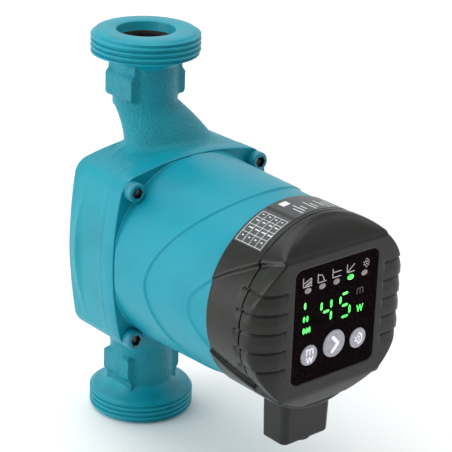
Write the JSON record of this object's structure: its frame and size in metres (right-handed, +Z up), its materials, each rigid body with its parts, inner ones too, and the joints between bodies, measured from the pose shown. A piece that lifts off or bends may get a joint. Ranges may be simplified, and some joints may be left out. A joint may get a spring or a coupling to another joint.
{
  "type": "circulator pump",
  "caption": "Wet-rotor heating circulator: teal cast housing with threaded ports top and bottom, round motor, black control head with display, buttons and plug.",
  "frame": {"origin": "centre of the lower port's face, where the port axis meets the gasket plane", "axes": "+Z up the port axis towards the upper port, -Y along the motor axis towards the control head, +X to the right seen from the head"},
  "size_m": [0.0866, 0.1494, 0.18],
  "materials": {
    "bearing_ceramic": "ground alumina",
    "board_green": "green solder mask",
    "bobbin_plastic": "moulded nylon",
    "brass_pin": "tinned brass",
    "button_grey": "silver-grey moulding",
    "capacitor_can": "sleeved aluminium can",
    "carbon": "pressed carbon",
    "carrier_plastic": "moulded rubber and steel carrier",
    "cast_teal": "satin teal paint over a sand-cast skin",
    "choke_core": "wound toroid",
    "connector_white": "moulded header",
    "copper": "enamelled copper wire",
    "ferrite": "sintered ferrite",
    "head_black": "fine-textured moulding",
    "impeller_plastic": "glass-filled moulding",
    "label_film": "printed dark grey foil",
    "lamination_steel": "stacked electrical steel",
    "led_lens": "diffused lens",
    "module_black": "epoxy package",
    "pad_grey": "soft thermal pad",
    "panel_film": "printed matte film",
    "screw_teal": "teal paint, bare in the socket",
    "seal_rubber": "matte EPDM",
    "shaft_ceramic": "ground and polished alumina",
    "shell_teal": "smooth satin teal paint on a die-cast shell",
    "socket_grey": "moulded socket",
    "stainless": "deep-drawn stainless sheet",
    "steel": "zinc-plated steel",
    "switch_black": "moulded switch body",
    "transformer_yellow": "taped coil"
  },
  "bodies": {
    "pump_body": {"base_screws": "steel", "bearing_carrier": "carrier_plastic", "bearing_plate": "stainless", "board_connector": "connector_white", "board_screws": "steel", "capacitors": "capacitor_can", "choke": "choke_core", "control_base": "head_black", "control_cover": "head_black", "cover_seal": "seal_rubber", "digit_display": "module_black", "display_board": "board_green", "display_panel": "panel_film", "flange_screws": "screw_teal", "front_bearing": "bearing_ceramic", "housing_o_ring": "seal_rubber", "mains_pins": "brass_pin", "mains_socket": "socket_grey", "motor_housing": "shell_teal", "power_board": "board_green", "power_module": "module_black", "pump_housing": "cast_teal", "rating_label": "label_film", "rear_bearing": "bearing_ceramic", "rotor_can": "stainless", "stator_core": "lamination_steel", "stator_windings": "copper", "status_leds": "led_lens", "suction_ring": "stainless", "tact_switches": "switch_black", "terminal_block": "bobbin_plastic", "thermal_pad": "pad_grey", "transformer": "transformer_yellow", "winding_bobbins": "bobbin_plastic", "winding_pins": "brass_pin"},
    "rotor": {"shaft": "shaft_ceramic", "rotor_yoke": "steel", "rotor_magnet": "ferrite", "rotor_sleeve": "stainless", "thrust_ring": "carbon", "impeller": "impeller_plastic", "impeller_shroud": "impeller_plastic"},
    "plug": {"plug_housing": "head_black", "plug_lid": "head_black", "plug_contacts": "brass_pin", "cable_grommet": "seal_rubber"},
    "button_left": {"button_left": "button_grey"},
    "button_centre": {"button_centre": "button_grey"},
    "button_right": {"button_right": "button_grey"}
  },
  "joints": [
    {"name": "rotor_spin", "type": "hinge", "parent": "pump_body", "child": "rotor", "pos_m": [0, -0.05, 0.09], "axis": [0, -1, 0], "continuous": true},
    {"name": "button_left_press", "type": "slide", "parent": "pump_body", "child": "button_left", "axis": [0, 1, 0], "range_m": [0, 0.0005], "stiffness_N_per_m": 800, "springref_m": -0.0006},
    {"name": "button_centre_press", "type": "slide", "parent": "pump_body", "child": "button_centre", "axis": [0, 1, 0], "range_m": [0, 0.0005], "stiffness_N_per_m": 800, "springref_m": -0.0006},
    {"name": "button_right_press", "type": "slide", "parent": "pump_body", "child": "button_right", "axis": [0, 1, 0], "range_m": [0, 0.0005], "stiffness_N_per_m": 800, "springref_m": -0.0006},
    {"name": "plug_pull", "type": "slide", "parent": "pump_body", "child": "plug", "axis": [0, 0, -1], "range_m": [0, 0.014]}
  ]
}
